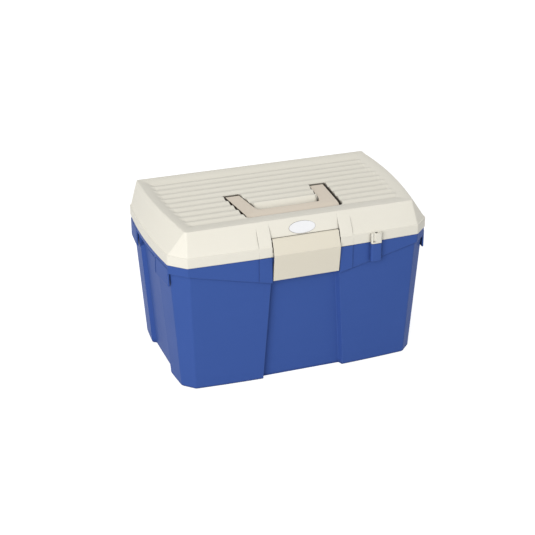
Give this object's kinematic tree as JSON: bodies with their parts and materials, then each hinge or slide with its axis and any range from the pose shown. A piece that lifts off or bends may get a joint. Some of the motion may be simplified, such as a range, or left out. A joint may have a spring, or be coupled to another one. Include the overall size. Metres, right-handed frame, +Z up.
{
  "type": "grooming box",
  "caption": "Moulded grooming box: tapered blue tub with recessed panels, hinged ribbed ivory lid, folding handle, front clasp, hand grips and a lift-out tray.",
  "frame": {"origin": "On the floor under the middle of the box, at the centre of the overall width and depth with the lid shut", "axes": "X runs to the right seen from the front, along the long side; Y runs from the clasp to the hinges; Z is up"},
  "size_m": [0.4012, 0.2571, 0.2453],
  "materials": {
    "blue_plastic": "fine moulded grain",
    "ivory_plastic": "fine moulded grain",
    "cream_plastic": "satin",
    "white_plastic": "smooth",
    "steel": "drawn wire"
  },
  "bodies": {
    "tub_body": {"tub": "blue_plastic", "hinge_rod_left": "steel", "hinge_rod_right": "steel"},
    "lid_body": {"lid": "ivory_plastic", "badge": "white_plastic", "handle_pin_left": "steel", "handle_pin_right": "steel", "clasp_rod": "steel"},
    "handle_body": {"carry_handle": "ivory_plastic"},
    "clasp_body": {"front_clasp": "cream_plastic"},
    "tray_body": {"tray": "ivory_plastic"}
  },
  "joints": [
    {"name": "lid_hinge", "type": "hinge", "parent": "tub_body", "child": "lid_body", "pos_m": [0, 0.1252, 0.1885], "axis": [-1, 0, 0], "range_deg": [0, 105]},
    {"name": "handle_hinge", "type": "hinge", "parent": "lid_body", "child": "handle_body", "pos_m": [0, 0.00445, 0.2332], "axis": [-1, 0, 0], "range_deg": [0, 90]},
    {"name": "clasp_hinge", "type": "hinge", "parent": "lid_body", "child": "clasp_body", "pos_m": [0, -0.11686, 0.217], "axis": [-1, 0, 0], "range_deg": [0, 100]},
    {"name": "tray_lift", "type": "slide", "parent": "tub_body", "child": "tray_body", "axis": [0, 0, 1], "range_m": [0, 0.018]}
  ]
}
